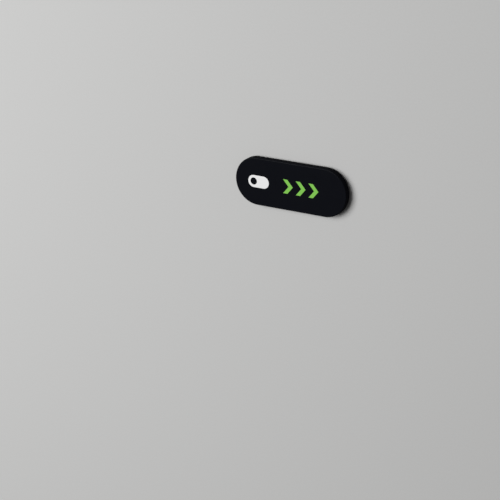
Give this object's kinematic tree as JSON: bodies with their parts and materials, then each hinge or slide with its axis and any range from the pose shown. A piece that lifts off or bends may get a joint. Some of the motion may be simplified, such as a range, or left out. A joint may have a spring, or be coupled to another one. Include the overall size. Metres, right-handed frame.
{
  "type": "webcam cover slider",
  "caption": "Slim black pill-shaped sliding cover for a laptop webcam: a moulded cover runs on the rails of an adhesive-backed base plate with a camera window.",
  "frame": {"origin": "middle of the outline in plan with the cover closed, on the adhesive's sticky face", "axes": "+X along the slide, the way the cover opens, +Y up the screen, +Z out of the front face towards the user"},
  "size_m": [0.028, 0.011, 0.0018],
  "materials": {
    "base_plastic": "satin black ABS, fine spark-eroded texture",
    "cover_plastic": "satin black ABS, fine spark-eroded texture on the face",
    "adhesive_tape": "milky acrylic foam tape, slightly glossy"
  },
  "bodies": {
    "base": {"base_plate": "base_plastic", "adhesive_pad": "adhesive_tape"},
    "slider": {"slider_cover": "cover_plastic"}
  },
  "joints": [
    {"name": "cover_slide", "type": "slide", "parent": "base", "child": "slider", "axis": [1, 0, 0], "range_m": [0, 0.01]}
  ]
}
